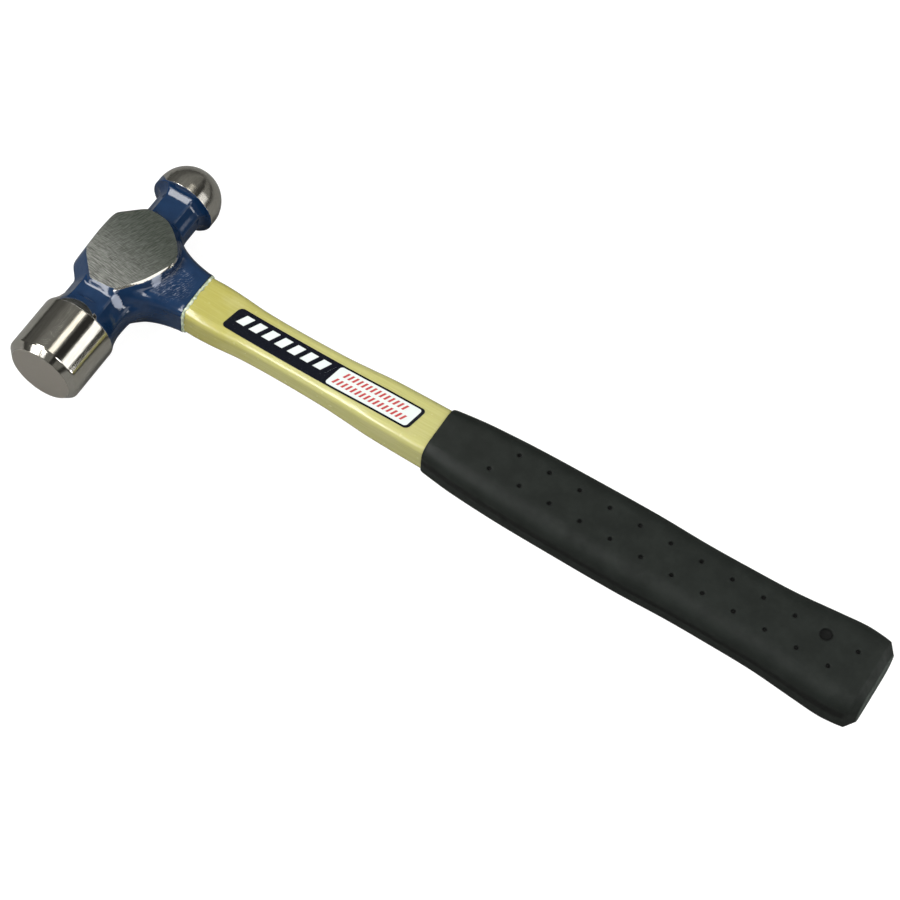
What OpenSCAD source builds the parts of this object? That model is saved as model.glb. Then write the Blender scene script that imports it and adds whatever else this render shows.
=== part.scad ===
// Ball peen hammer: a forged head bonded to a solid fibreglass handle that
// carries a moulded rubber grip.
//
// Frame: the hammer lies on its side. +X runs along the handle to the butt,
// +Y along the head towards the ball and +Z up. The origin is the centre of
// the lower cheek flat, straight under the crossing of head and handle axes.

/* [Head] */
// Length of the head from striking face to tip of the ball
head_len = 101.6; // [96:0.2:108]
// Distance from the handle axis to the striking face
face_reach = 54.6; // [50:0.2:57]
// Diameter of the poll, the striking cylinder
poll_d = 29; // [27:0.1:31]
// Length of the poll's cylinder, bevel included
poll_len = 23.4; // [22:0.1:25]
// Bevel around the striking face
face_bevel = 2.6; // [1:0.1:4]
// Diameter of the ball
ball_d = 25; // [23:0.1:27]
// Distance between the two ground cheeks
cheek_gap = 25.6; // [23:0.1:28]
// Half width of the neck behind the poll, along the handle
poll_neck = 11.5; // [10.5:0.1:12.5]
// Half width of the neck behind the ball, along the handle
ball_neck = 8.4; // [7:0.1:9.4]

/* [Eye and socket] */
// Distance from the handle axis crossing to the free end of the eye
eye_reach = 15.4; // [15:0.1:17]
// Distance from the handle axis crossing to the socket rim
rim_x = 29; // [27:0.1:32]
// Half width of the socket rim along the head
rim_w = 10.3; // [10.2:0.1:11.5]
// Half thickness of the socket rim
rim_t = 7.8; // [7.6:0.1:9]
// Gap filled by resin between the tang and the eye
bond_gap = 0.55; // [0.4:0.05:0.7]

/* [Handle] */
// Distance from the handle axis crossing to the butt of the grip
butt_x = 302.3; // [290:0.1:330]
// Half width of the handle at its waist
waist_w = 8.6; // [8:0.05:9.2]
// Half thickness of the handle at its waist
waist_t = 6.05; // [5.6:0.05:6.6]
// Corner radius of the handle's section
handle_r = 3; // [2.5:0.1:3.5]

/* [Grip] */
// Where the grip's front edge sits
grip_x = 129.5; // [126:0.5:136]
// Half width of the grip at its palm swell
palm_w = 14.7; // [13.5:0.1:15.4]
// Half width of the grip at its flared butt
flare_w = 16.6; // [15.5:0.1:17.2]
// Chamfer around the butt
butt_chamfer = 3; // [2:0.1:4]
// Diameter of the small vent dimples
dimple_d = 1.8; // [0.8:0.1:2.2]
// Distance between dimples in a row
dimple_pitch = 12.1; // [11:0.1:12.2]
// Distance of each row of dimples from the grip's middle
dimple_row = 5.1; // [4.4:0.1:6]
// Diameter of the locating recess near the butt
recess_d = 4.8; // [4:0.1:6]

/* [Label] */
// Length of the label
label_len = 79.4; // [60:0.2:80]
// Width of the label
label_w = 10.2; // [7:0.1:10.6]

/* [Hidden] */
$fn = 96;

axis_z = cheek_gap / 2;
poll_r = poll_d / 2;
ball_r = ball_d / 2;
ball_y = head_len - face_reach - ball_r;
poll_end = -face_reach + poll_len;
poll_cone = 5;                // length of the cone behind the poll
poll_shoulder = 3.1;          // how much its radius falls over that length
neck_flat = 0.95;             // thickness of a neck over its width
neck_top = 0.56;              // share of a neck's width that its top flat takes
neck_side = 0.33;             // share of its thickness that a side flat takes
poll_neck_shift = 0.6;        // each neck stands off the head's axis,
ball_neck_shift = 1.2;        // towards the socket
ball_shift = 0.9;             // the ball stands off the head's axis as well
ball_band = 2.9;              // straight band behind the ball's equator
ball_back_bevel = 0.4;
body_mid_w = 19.2;            // half length of the bulging eye body along Y
cheek_step = 8;               // height of the sloped faces around a cheek
cheek_chamfer = 1.2;          // height of the chamfer below a cheek's edge,
chamfer_reach = [0.6, -1.1];  // which is widest towards +X and -Y
flare_x = 8;                  // where the socket's skirt runs out of the body
tang_w = 9;                   // half width of the tang
tang_t = 6.4;                 // half thickness of the tang
eye_w = tang_w + bond_gap;
eye_t = tang_t + bond_gap;
eye_r = handle_r + bond_gap;
tang_top_gap = 1.2;           // resin cap over the tang at the eye's free end
eye_flare = 0.55;             // how much the eye widens towards its free end
bead_len = 1.3;               // resin squeezed out past the socket rim
core_end_gap = 9;             // rubber left between the core and the butt
label_t = 0.15;
label_x = 43.1;               // near end of the label
label_shift = -1;             // the label sits off the middle of the flat
label_corner = 2.4;
dimple_depth = 1.2;
recess_depth = 1.6;
dimple_x = 152.8;             // first dimple of the lower row
row_shift = 0.6;              // the rows start off the grip's middle
row_lean = -0.0146;           // and lean across it towards the butt
dimple_count = 12;
recess_step = 10;             // place of the recess in the upper row
recess_inset = 0.8;           // the recess sits nearer the grip's middle

// Sizes down the handle: [x, half width, half thickness, corner radius].
// Stations are where the real section changes; a smooth curve joins them.
handle_stations = [
    [rim_x, 9.6, 6.9, handle_r],
    [rim_x + 6, 9.75, 6.9, handle_r],
    [rim_x + 13, 9.55, 6.65, handle_r],
    [rim_x + 24, waist_w + 0.2, waist_t + 0.15, handle_r],
    [rim_x + 39, waist_w, waist_t, handle_r],
    [rim_x + 58, waist_w + 0.25, waist_t + 0.15, handle_r],
    [grip_x - 33, waist_w + 0.7, waist_t + 0.5, handle_r],
    [grip_x - 22, 9.85, 7.1, handle_r],
    [grip_x, 10.2, 7.5, handle_r + 0.2],
    [grip_x + 40, 10.8, 7.2, handle_r + 0.2],
    [butt_x - core_end_gap, 11.6, 7, handle_r + 0.2]
];

grip_stations = [
    [grip_x, 11.2, 8.6, 4.8],
    [grip_x + 6, 12, 9.2, 5.4],
    [grip_x + 14, 12.9, 9.5, 5.8],
    [grip_x + 31, palm_w - 0.8, 9.9, 6.4],
    [grip_x + 49, palm_w - 0.3, 10, 6.8],
    [grip_x + 80, palm_w, 10, 7],
    [grip_x + 100, palm_w - 0.5, 9.9, 7],
    [grip_x + 117, palm_w - 0.4, 9.9, 7],
    [grip_x + 134, palm_w, 10, 7],
    [butt_x - 22, flare_w - 0.6, 10.3, 6.8],
    [butt_x - 12.5, flare_w, 10.5, 6.6],
    [butt_x - 6.5, flare_w - 0.35, 10.4, 6.5],
    [butt_x - butt_chamfer, flare_w - 0.9, 10.2, 6.2]
];

// The tang, from inside the eye's free end to the rim.
tang_stations = [
    [-eye_reach + tang_top_gap, tang_w, tang_t, handle_r],
    [rim_x, tang_w, tang_t, handle_r]
];

// The eye's cavity: straight through the socket, wider at the free end.
cavity_stations = [
    [-eye_reach - 1, eye_w + eye_flare, eye_t + eye_flare, eye_r],
    [-2, eye_w, eye_t, eye_r],
    [rim_x + 1, eye_w, eye_t, eye_r]
];

// Outside of the socket, a skirt that flares into the eye body on both sides.
socket_stations = [
    [flare_x, 18.2, 10.4, 5],
    [flare_x + 4, 15.5, 9.8, 4.6],
    [flare_x + 8, 13.2, 9.1, 4.2],
    [flare_x + 13, 11.5, 8.4, 3.9],
    [rim_x - 2, rim_w + 0.1, rim_t + 0.1, 3.7],
    [rim_x, rim_w, rim_t, 3.6]
];

// Outline of a ground cheek, seen from above (x, y).
cheek_outline = [
    [-12.7, -9.2], [-8.3, -14.2], [-3.9, -18.5], [6.2, -17.6], [12.4, -8.9],
    [15.4, -2.4], [17.4, 3], [16.6, 6.6], [14.2, 10.4], [9.2, 14.4],
    [4.2, 16.9], [-0.5, 17.4], [-3.7, 16.9], [-12.5, 9.3], [-13.2, 0.4]
];

// Curve through stations: the slope at each is that of its neighbours' chord.
function last_of(s) = len(s) - 1;
function span_of(s, x, i = 0) = i >= last_of(s) - 1 || x <= s[i + 1][0] ? i : span_of(s, x, i + 1);
function slope_at(s, i, k) =
    let (a = max(i - 1, 0), b = min(i + 1, last_of(s)))
    (s[b][k] - s[a][k]) / (s[b][0] - s[a][0]);
function blend(s, i, k, u) =
    let (h = s[i + 1][0] - s[i][0], u2 = u * u, u3 = u2 * u)
    (2 * u3 - 3 * u2 + 1) * s[i][k] + (u3 - 2 * u2 + u) * h * slope_at(s, i, k)
    + (3 * u2 - 2 * u3) * s[i + 1][k] + (u3 - u2) * h * slope_at(s, i + 1, k);
function at(s, x, k) =
    let (i = span_of(s, x), u = (x - s[i][0]) / (s[i + 1][0] - s[i][0]))
    blend(s, i, k, min(max(u, 0), 1));

// Rounded rectangle in the YZ plane around the handle axis.
corner_steps = 5;
function ring(x, w, t, r) = [
    for (c = [0:3])
        for (i = [0:corner_steps])
            let (
                a = 90 * c + 90 * i / corner_steps,
                sy = (c == 0 || c == 3) ? 1 : -1,
                sz = c < 2 ? 1 : -1
            )
            [x, sy * (w - r) + r * cos(a), axis_z + sz * (t - r) + r * sin(a)]
];
function station_ring(s, x) = ring(x, at(s, x, 1), at(s, x, 2), at(s, x, 3));

// Closed solid through rings of equal length. Each ring turns anticlockwise
// as seen from the far end, looking back at the first.
module skin(rings) {
    n = len(rings[0]);
    m = len(rings);
    pts = [for (r = rings) for (p = r) p];
    sides = [
        for (j = [0:m - 2])
            for (i = [0:n - 1])
                let (a = j * n + i, b = j * n + (i + 1) % n)
                each [[b + n, b, a], [a + n, b + n, a]]
    ];
    near = [for (i = [0:n - 1]) i];
    far = [for (i = [n - 1:-1:0]) (m - 1) * n + i];
    polyhedron(points = pts, faces = concat(sides, [near, far]), convexity = 6);
}

// Rings at even steps from the first station to the last.
function even_rings(s, step) =
    let (x0 = s[0][0], x1 = s[last_of(s)][0], m = ceil((x1 - x0) / step))
    [for (j = [0:m]) station_ring(s, x0 + (x1 - x0) * j / m)];

// Turn a profile drawn as (radius, distance along the head) about the head axis.
module turned() {
    translate([0, 0, axis_z])
        rotate([-90, 0, 0])
            rotate_extrude()
                children();
}

module poll() {
    turned()
        polygon([
            [0, -face_reach],
            [poll_r - face_bevel, -face_reach],
            [poll_r, -face_reach + face_bevel],
            [poll_r, poll_end],
            [poll_r - poll_shoulder, poll_end + poll_cone],
            [0, poll_end + poll_cone]
        ]);
}

module ball() {
    translate([ball_shift, 0, 0])
        turned()
            intersection() {
                union() {
                    translate([0, ball_y])
                        circle(r = ball_r);
                    translate([0, ball_y - ball_band])
                        square([ball_r, ball_band]);
                }
                polygon([
                    [0, ball_y - ball_band],
                    [ball_r - ball_back_bevel, ball_y - ball_band],
                    [ball_r, ball_y - ball_band + ball_back_bevel],
                    [ball_r + 1, ball_y + ball_r + 1],
                    [0, ball_y + ball_r + 1]
                ]);
            }
}

// Eight-sided section of a neck, in the XZ plane at distance y along the head.
function neck_ring(x, y, w) =
    let (t = w * neck_flat, cw = w * neck_top, ct = t * neck_side)
    [for (p = [[w, ct], [cw, t], [-cw, t], [-w, ct], [-w, -ct], [-cw, -t], [cw, -t], [w, -ct]])
        [x + p[0], y, axis_z + p[1]]];

// Eight-sided neck of half width w_thin that sweeps outwards to w_body in an arc.
module neck(x, w_thin, y_thin, w_body, y_body) {
    steps = 6;
    rings = [
        for (i = [0:steps])
            let (a = 90 * i / steps)
            neck_ring(x, y_body + (y_thin - y_body) * (1 - cos(a)), w_body - (w_body - w_thin) * sin(a))
    ];
    skin(y_thin < y_body ? rings : [for (i = [steps:-1:0]) rings[i]]);
}

// Eye body: a bulging block with a ground flat on each side.
module eye_body() {
    mid = [
        [-eye_reach, -9], [0.3 - eye_reach, -13.2], [-10.8, -body_mid_w], [9, -body_mid_w],
        [16, -12], [18, 0], [16, 12], [9, body_mid_w], [-8, body_mid_w],
        [0.8 - eye_reach, 12], [-eye_reach, 8]
    ];
    hull() {
        linear_extrude(height = cheek_gap)
            polygon(cheek_outline);
        translate([chamfer_reach[0], chamfer_reach[1], cheek_chamfer])
            linear_extrude(height = cheek_gap - 2 * cheek_chamfer)
                polygon(cheek_outline);
        translate([0, 0, cheek_step])
            linear_extrude(height = cheek_gap - 2 * cheek_step)
                polygon(mid);
    }
}

module eye_cavity() {
    skin([for (s = cavity_stations) ring(s[0], s[1], s[2], s[3])]);
}

module tang() {
    skin([for (s = tang_stations) ring(s[0], s[1], s[2], s[3])]);
}

module head() {
    color([0.09, 0.17, 0.34])
        difference() {
            union() {
                poll();
                ball();
                neck(poll_neck_shift, poll_neck, poll_end + poll_cone / 2,
                    poll_neck + 2.4, 7 - body_mid_w);
                neck(ball_neck_shift, ball_neck, ball_y - ball_band / 2,
                    ball_neck + 4.4, body_mid_w - 5);
                eye_body();
                skin(even_rings(socket_stations, 2.4));
            }
            eye_cavity();
        }
}

// Handle: tang inside the eye, waisted shaft, then the core inside the grip.
module handle() {
    color([0.76, 0.74, 0.42])
        union() {
            skin(even_rings(handle_stations, 6));
            tang();
        }
}

// Cured resin: fills the eye around and over the tang and stands out of the
// socket as an uneven bead.
module epoxy_bond() {
    bead = [
        [rim_x, rim_w - 0.1, rim_t - 0.1, 3.4],
        [rim_x + bead_len * 0.5, rim_w - 0.2, rim_t - 0.2, 3.4],
        [rim_x + bead_len, 9.8, 7.1, handle_r]
    ];
    color([0.78, 0.82, 0.70])
        difference() {
            union() {
                intersection() {
                    eye_cavity();
                    union() {
                        eye_body();
                        skin(even_rings(socket_stations, 2.4));
                    }
                }
                skin([for (b = bead) ring(b[0], b[1], b[2], b[3])]);
            }
            tang();
            skin(even_rings(handle_stations, 6));
        }
}

module dimple(x, y, d, depth) {
    row_y = row_shift + row_lean * (x - dimple_x);
    translate([x, y + row_y, axis_z + at(grip_stations, x, 2) - depth])
        cylinder(d = d, h = depth + 2, $fn = 24);
}

// Grip: rubber sleeve moulded over the core, with vent dimples on its upper
// face and a shallow locating recess near the butt.
module grip() {
    butt = last_of(grip_stations);
    b = grip_stations[butt];
    end_ring = ring(butt_x, b[1] - butt_chamfer, b[2] - butt_chamfer, b[3] - 1.2);
    color([0.14, 0.16, 0.14])
        difference() {
            skin(concat(even_rings(grip_stations, 5.5), [end_ring]));
            skin(even_rings(handle_stations, 6));
            for (i = [0:dimple_count - 1]) {
                dimple(dimple_x + dimple_pitch * i, -dimple_row, dimple_d, dimple_depth);
                if (i != recess_step)
                    dimple(dimple_x + dimple_pitch * (i + 0.5), dimple_row, dimple_d, dimple_depth);
            }
            dimple(dimple_x + dimple_pitch * (recess_step + 0.5), dimple_row - recess_inset,
                recess_d, recess_depth);
        }
}

// Label: a printed film that follows the handle's upper flat.
module handle_label() {
    steps = 16;
    module film(lift) {
        rows = [
            for (j = [0:steps])
                let (x = label_x + label_len * j / steps)
                [x, axis_z + at(handle_stations, x, 2)]
        ];
        rotate([90, 0, 0])
            linear_extrude(height = label_w - 2 * label_shift, center = true)
                polygon(concat(
                    [for (p = rows) [p[0], p[1] + lift]],
                    [for (j = [steps:-1:0]) [rows[j][0], rows[j][1] - 1]]
                ));
    }
    color([0.07, 0.09, 0.18])
        difference() {
            intersection() {
                film(label_t);
                translate([label_x + label_len / 2, label_shift, 0])
                    linear_extrude(height = 2 * cheek_gap)
                        offset(r = label_corner, $fn = 32)
                            square([
                                label_len - 2 * label_corner,
                                label_w - 2 * label_corner
                            ], center = true);
            }
            skin(even_rings(handle_stations, 6));
        }
}

head();
epoxy_bond();
handle();
grip();
handle_label();
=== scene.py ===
"""Ball peen hammer: forged and painted head, fibreglass handle with a printed
label, moulded rubber grip. It lies on its side on a pale floor.

Lengths in the functions below are millimetres in the CAD frame: +X runs along
the handle to the butt, +Y along the head to the ball, +Z up. h, and a name that
ends in _h, is a height over the axis of the head and handle.
"""

import math

import bpy
import numpy as np
from mathutils import Matrix, Vector


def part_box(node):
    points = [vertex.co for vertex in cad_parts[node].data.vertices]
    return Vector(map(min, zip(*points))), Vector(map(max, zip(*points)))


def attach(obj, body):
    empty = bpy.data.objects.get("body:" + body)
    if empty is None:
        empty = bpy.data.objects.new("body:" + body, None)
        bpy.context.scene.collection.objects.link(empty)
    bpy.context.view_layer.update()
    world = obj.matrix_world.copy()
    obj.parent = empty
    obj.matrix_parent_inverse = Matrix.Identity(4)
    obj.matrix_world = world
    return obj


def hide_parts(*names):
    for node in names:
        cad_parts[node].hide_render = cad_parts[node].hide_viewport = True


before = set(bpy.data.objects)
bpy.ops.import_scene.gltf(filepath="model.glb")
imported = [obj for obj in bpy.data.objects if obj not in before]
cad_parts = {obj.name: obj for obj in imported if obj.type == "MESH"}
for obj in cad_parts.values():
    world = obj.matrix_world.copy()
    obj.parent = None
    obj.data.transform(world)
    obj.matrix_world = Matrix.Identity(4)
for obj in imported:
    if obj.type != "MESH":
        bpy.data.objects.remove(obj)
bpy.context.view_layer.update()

MM = 0.001
SEED = 7


def node_box(name):
    """Lowest and highest corner of a CAD node, in millimetres."""
    low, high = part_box(name)
    return np.array(low) / MM, np.array(high) / MM


# ---- sizes

HEAD_LOW, HEAD_HIGH = node_box("head")
GRIP_LOW, GRIP_HIGH = node_box("grip")
LABEL_LOW, LABEL_HIGH = node_box("handle_label")

POLL_R = (HEAD_HIGH[2] - HEAD_LOW[2]) / 2
AXIS_Z = (HEAD_HIGH[2] + HEAD_LOW[2]) / 2
FACE_Y = HEAD_LOW[1]
TIP_Y = HEAD_HIGH[1]
EYE_END_X = HEAD_LOW[0]
RIM_X = HEAD_HIGH[0]
BUTT_X = GRIP_HIGH[0]
GRIP_X = GRIP_LOW[0]
CORE_END_X = node_box("handle")[1][0]

CHEEK_H = AXIS_Z
BEVEL = 2.6
POLL_BACK_Y = FACE_Y + 23.4
SHOULDER = 5.0
SHOULDER_DROP = 3.1
BALL_R = 12.5
BALL_X = 0.9
BALL_Y = TIP_Y - BALL_R
BALL_BACK_Y = BALL_Y - 2.9
POLL_NECK_R = 11.5
BALL_NECK_R = 8.4
POLL_NECK_X = 0.6
BALL_NECK_X = 1.2
SLOPE_H = 5.0

CHEEK_OUTLINE = [
    (-12.7, -9.2), (-8.3, -14.2), (-3.9, -18.5), (6.2, -17.6), (12.4, -8.9),
    (15.4, -2.4), (17.4, 3), (16.6, 6.6), (14.2, 10.4), (9.2, 14.4),
    (4.2, 16.9), (-0.5, 17.4), (-3.7, 16.9), (-12.5, 9.3), (-13.2, 0.4),
]
# The planes' soft meeting takes 0.85 off the free end, so they start that far out.
FREE_X = EYE_END_X - 0.85
MID_OUTLINE = [
    (FREE_X, -9), (FREE_X + 0.3, -13.2), (-10.8, -19.2), (9, -19.2),
    (16, -12), (18, 0), (16, 12), (9, 19.2), (-8, 19.2),
    (FREE_X + 0.8, 12), (FREE_X, 8),
]

# Stations down a part: x, half width, half thickness, corner radius.
SOCKET = [
    (-2, 20.5, 11.2, 6), (8, 18.2, 10.4, 5), (12, 15.5, 9.8, 4.6), (16, 13.2, 9.1, 4.2),
    (21, 11.5, 8.4, 3.9), (RIM_X - 2, 10.4, 7.9, 3.7), (RIM_X, 10.3, 7.8, 3.6),
]
CAVITY = [
    (EYE_END_X - 15, 10.6, 8, 3.55), (EYE_END_X - 1, 10.1, 7.5, 3.55),
    (-2, 9.55, 6.95, 3.55), (RIM_X + 20, 9.55, 6.95, 3.55),
]
# The shaft's tang: half width, half thickness, corner radius.
TANG = (9, 6.4, 3)
TANG_X = EYE_END_X + 3
# Half the width that the mesh's columns cover on the shaft's upper side.
TOP_HALF_W = 5.4
# From here to its end the shaft's core keeps one section.
CORE_X = GRIP_X + 12
HANDLE = [
    (RIM_X - 3, 9.5, 6.85, 3), (RIM_X, 9.6, 6.9, 3), (RIM_X + 6, 9.75, 6.9, 3),
    (RIM_X + 13, 9.55, 6.65, 3), (RIM_X + 24, 8.8, 6.2, 3), (RIM_X + 39, 8.6, 6.05, 3),
    (RIM_X + 58, 8.85, 6.2, 3), (GRIP_X - 33, 9.3, 6.55, 3), (GRIP_X - 22, 9.85, 7.1, 3),
    (GRIP_X, 10.2, 7.5, 3.2), (CORE_X, 10.3, 7.45, 3.2),
]
GRIP = [
    (GRIP_X, 11.2, 8.6, 4.8), (GRIP_X + 6, 12, 9.2, 5.4), (GRIP_X + 14, 12.9, 9.5, 5.8),
    (GRIP_X + 31, 13.9, 9.9, 6.4), (GRIP_X + 49, 14.4, 10, 6.8), (GRIP_X + 80, 14.7, 10, 7),
    (GRIP_X + 100, 14.2, 9.9, 7), (GRIP_X + 117, 14.3, 9.9, 7), (GRIP_X + 134, 14.7, 10, 7),
    (BUTT_X - 22, 16, 10.3, 6.8), (BUTT_X - 12.5, 16.6, 10.5, 6.6),
    (BUTT_X - 6.5, 16.25, 10.4, 6.5), (BUTT_X - 3, 15.7, 10.2, 6.2),
]

# ---- curves and fields


def along(stations, column, x):
    """A column of the stations at x, on a smooth curve through them."""
    table = np.array(stations, float)
    place, value = table[:, 0], table[:, column]
    count = len(place)
    before = np.maximum(np.arange(count) - 1, 0)
    after = np.minimum(np.arange(count) + 1, count - 1)
    slope = (value[after] - value[before]) / (place[after] - place[before])
    i = np.clip(np.searchsorted(place, x, side="right") - 1, 0, count - 2)
    span = place[i + 1] - place[i]
    u = np.clip((x - place[i]) / span, 0, 1)
    start = (2 * u**3 - 3 * u**2 + 1) * value[i] + (u**3 - 2 * u**2 + u) * span * slope[i]
    end = (3 * u**2 - 2 * u**3) * value[i + 1] + (u**3 - u**2) * span * slope[i + 1]
    return start + end


def soft_min(a, b, k):
    """The smaller of two distances, rounded off where they are within k."""
    h = np.clip(0.5 + 0.5 * (b - a) / k, 0, 1)
    return b + (a - b) * h - k * h * (1 - h)


def soft_max(a, b, k):
    return -soft_min(-a, -b, k)


def rounded_rectangle(y, h, half_w, half_t, corner):
    """Distance to a rounded rectangle across the handle axis."""
    qy = np.abs(y) - half_w + corner
    qh = np.abs(h) - half_t + corner
    outside = np.hypot(np.maximum(qy, 0), np.maximum(qh, 0))
    return outside + np.minimum(np.maximum(qy, qh), 0) - corner


def sizes_at(stations, x):
    """Half width, half thickness and corner radius at x."""
    return [along(stations, column, x) for column in (1, 2, 3)]


def loft_field(stations, x, y, h):
    return rounded_rectangle(y, h, *sizes_at(stations, x))


def edge_normals(outline):
    """Outward unit normals of an outline drawn anticlockwise."""
    points = np.array(outline, float)
    edge = np.roll(points, -1, 0) - points
    normal = np.stack([edge[:, 1], -edge[:, 0]], 1)
    return normal / np.linalg.norm(normal, axis=1)[:, None]


def edge_chamfer(nx, ny):
    """Width of the chamfer below a cheek edge: widest towards +X and -Y."""
    return 0.25 + 0.9 * min(max((nx - ny) * 1.2, 0), 1) + 0.7 * max(-0.9 - ny, 0) / 0.1


def eye_body_field(x, y, h):
    """Faceted block: the middle outline draws in to the cheek outline."""
    height = np.abs(h)
    field = np.full(np.broadcast(x, y, h).shape, -40.0)
    for outline, soft in ((CHEEK_OUTLINE, 0.5), (MID_OUTLINE, 2.0)):
        for nx, ny in edge_normals(outline):
            cheek_reach = max(px * nx + py * ny for px, py in CHEEK_OUTLINE)
            mid_reach = max(px * nx + py * ny for px, py in MID_OUTLINE)
            chamfer = edge_chamfer(nx, ny)
            drop = CHEEK_H - chamfer - SLOPE_H
            lean = (mid_reach - cheek_reach - chamfer) / drop
            across = x * nx + y * ny
            wall = across - mid_reach + lean * np.maximum(height - SLOPE_H, 0)
            field = soft_max(field, wall / math.hypot(1, lean), soft)
            if outline is CHEEK_OUTLINE:
                rise = 1.25 if ny < -0.9 else 1.0
                bevel = across - cheek_reach + (height - CHEEK_H) * rise
                field = soft_max(field, bevel / math.hypot(1, rise), 0.3)
    return field


def neck_field(x, h, half_w):
    """Eight-sided neck with softened corners."""
    ax, ah = np.abs(x), np.abs(h)
    corner = ax * 0.806 + ah * 0.59 - half_w * 1.012
    return soft_max(soft_max(ax - half_w, ah - 0.95 * half_w, 0.5), corner, 0.5)


def poll_field(x, y, h):
    r = np.hypot(x, h)
    side = r - POLL_R
    bevel = (r - POLL_R + (FACE_Y + BEVEL - y)) * math.sqrt(0.5)
    fall = SHOULDER_DROP / SHOULDER
    shoulder = (r - POLL_R + (y - POLL_BACK_Y) * fall) / math.hypot(1, fall)
    ends = np.maximum(FACE_Y - y, y - POLL_BACK_Y - SHOULDER)
    body = soft_max(soft_max(side, bevel, 0.3), shoulder, 0.5)
    return soft_max(body, ends, 0.3)


def ball_field(x, y, h):
    r = np.hypot(x - BALL_X, h)
    dome = np.hypot(r, np.maximum(y - BALL_Y, 0)) - BALL_R
    return soft_max(dome, BALL_BACK_Y - y, 0.35)


def web_field(x, y, h):
    """Rounded inner corners between the necks, the eye body and the socket."""
    poll_side = soft_max(np.abs(x - POLL_NECK_X) - POLL_NECK_R, y, 1)
    ball_side = soft_max(np.abs(x - BALL_NECK_X) - BALL_NECK_R, -y, 1)
    skirt = soft_max(np.abs(y) - along(SOCKET, 1, x), -x, 1)
    plan = soft_min(soft_min(poll_side, skirt, 9), ball_side, 5)
    plan = soft_max(plan, x - RIM_X + 4, 4)
    reach = soft_max(y - BALL_BACK_Y + 3, -y + POLL_BACK_Y + 3, 1)
    return soft_max(soft_max(plan, reach, 2), np.abs(h) - 4.6, 3.5)


def forging_field(x, y, h):
    """The head without its cavity."""
    poll_neck = soft_max(neck_field(x - POLL_NECK_X, h, POLL_NECK_R), POLL_BACK_Y - y, 0.5)
    poll_neck = np.maximum(poll_neck, y)
    ball_neck = soft_max(neck_field(x - BALL_NECK_X, h, BALL_NECK_R), y - BALL_Y, 0.5)
    ball_neck = np.maximum(ball_neck, -y)
    socket = np.maximum(loft_field(SOCKET, x, y, h), -2 - x)
    arms = soft_min(soft_min(poll_neck, ball_neck, 1), socket, 1.2)
    arms = soft_min(arms, web_field(x, y, h), 1.2)
    scoop = np.clip((x - 2) / 5, 0, 1) * np.clip((-10 - y) / 4, 0, 1)
    block = soft_min(eye_body_field(x, y, h), arms, 0.9 + 1.0 * scoop)
    block = np.maximum(block, np.abs(h) - CHEEK_H)
    solid = soft_min(block, poll_field(x, y, h), 2.2)
    solid = soft_min(solid, ball_field(x, y, h), 4.0)
    return np.maximum(solid, x - RIM_X)


def head_field(x, y, h):
    return np.maximum(forging_field(x, y, h), -loft_field(CAVITY, x, y, h))


def field_normals(field, points, reach=0.02):
    """Unit normals of a field at points, from four samples around each."""
    total = np.zeros_like(points)
    for corner in ((1, -1, -1), (-1, -1, 1), (-1, 1, -1), (1, 1, 1)):
        sample = points + reach * np.array(corner)
        total += field(*sample.T)[:, None] * np.array(corner)
    return total / np.maximum(np.linalg.norm(total, axis=1)[:, None], 1e-12)


# ---- surface of a field


def crossings(field, low, step, values, axis):
    """Where the surface cuts the grid's edges along one axis: cells, places, normals."""
    ahead = np.roll(values, -1, axis)
    cut = (values < 0) != (ahead < 0)
    index = [slice(None)] * 3
    index[axis] = slice(-1, None)
    cut[tuple(index)] = False
    place = np.argwhere(cut)
    inside_first = values[cut] < 0
    start = low + place * step
    direction = np.eye(3)[axis] * step
    near = np.zeros(len(place))
    far = np.ones(len(place))
    near_value, far_value = values[cut], ahead[cut]
    for _ in range(4):
        guess = near + (far - near) * near_value / (near_value - far_value)
        guess = np.clip(guess, near + 0.02 * (far - near), far - 0.02 * (far - near))
        value = field(*(start + guess[:, None] * direction).T)
        same = (value < 0) == (near_value < 0)
        near, near_value = np.where(same, guess, near), np.where(same, value, near_value)
        far, far_value = np.where(same, far, guess), np.where(same, far_value, value)
    guess = near + (far - near) * near_value / (near_value - far_value)
    points = start + guess[:, None] * direction
    return place, inside_first, points, field_normals(field, points)


def cells_round(place, axis, shape):
    """The four cells that share a grid edge, anticlockwise about its axis."""
    u, v = (axis + 1) % 3, (axis + 2) % 3
    cells = []
    for du, dv in ((-1, -1), (0, -1), (0, 0), (-1, 0)):
        cell = place.copy()
        cell[:, u] += du
        cell[:, v] += dv
        cells.append(np.ravel_multi_index(cell.T, shape))
    return np.stack(cells, 1)


def surface_of(field, low, high, step):
    """Vertices and faces on a field's surface, with a vertex on every crease."""
    low = np.array(low, float)
    counts = np.ceil((np.array(high) - low) / step).astype(int) + 1
    lines = [low[i] + step * np.arange(counts[i]) for i in range(3)]
    values = field(lines[0][:, None, None], lines[1][None, :, None], lines[2][None, None, :])
    quads, cells, points, normals = [], [], [], []
    for axis in range(3):
        place, inside_first, point, normal = crossings(field, low, step, values, axis)
        around = cells_round(place, axis, tuple(counts))
        quads.append(np.where(inside_first[:, None], around, around[:, ::-1]))
        cells.append(around.reshape(-1))
        points.append(np.repeat(point, 4, 0))
        normals.append(np.repeat(normal, 4, 0))
    cells, points, normals = map(np.concatenate, (cells, points, normals))
    used, slot = np.unique(cells, return_inverse=True)
    vertices = crease_points(used, slot, points, normals, low, step, tuple(counts))
    faces = np.searchsorted(used, np.concatenate(quads))
    return vertices, faces


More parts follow.
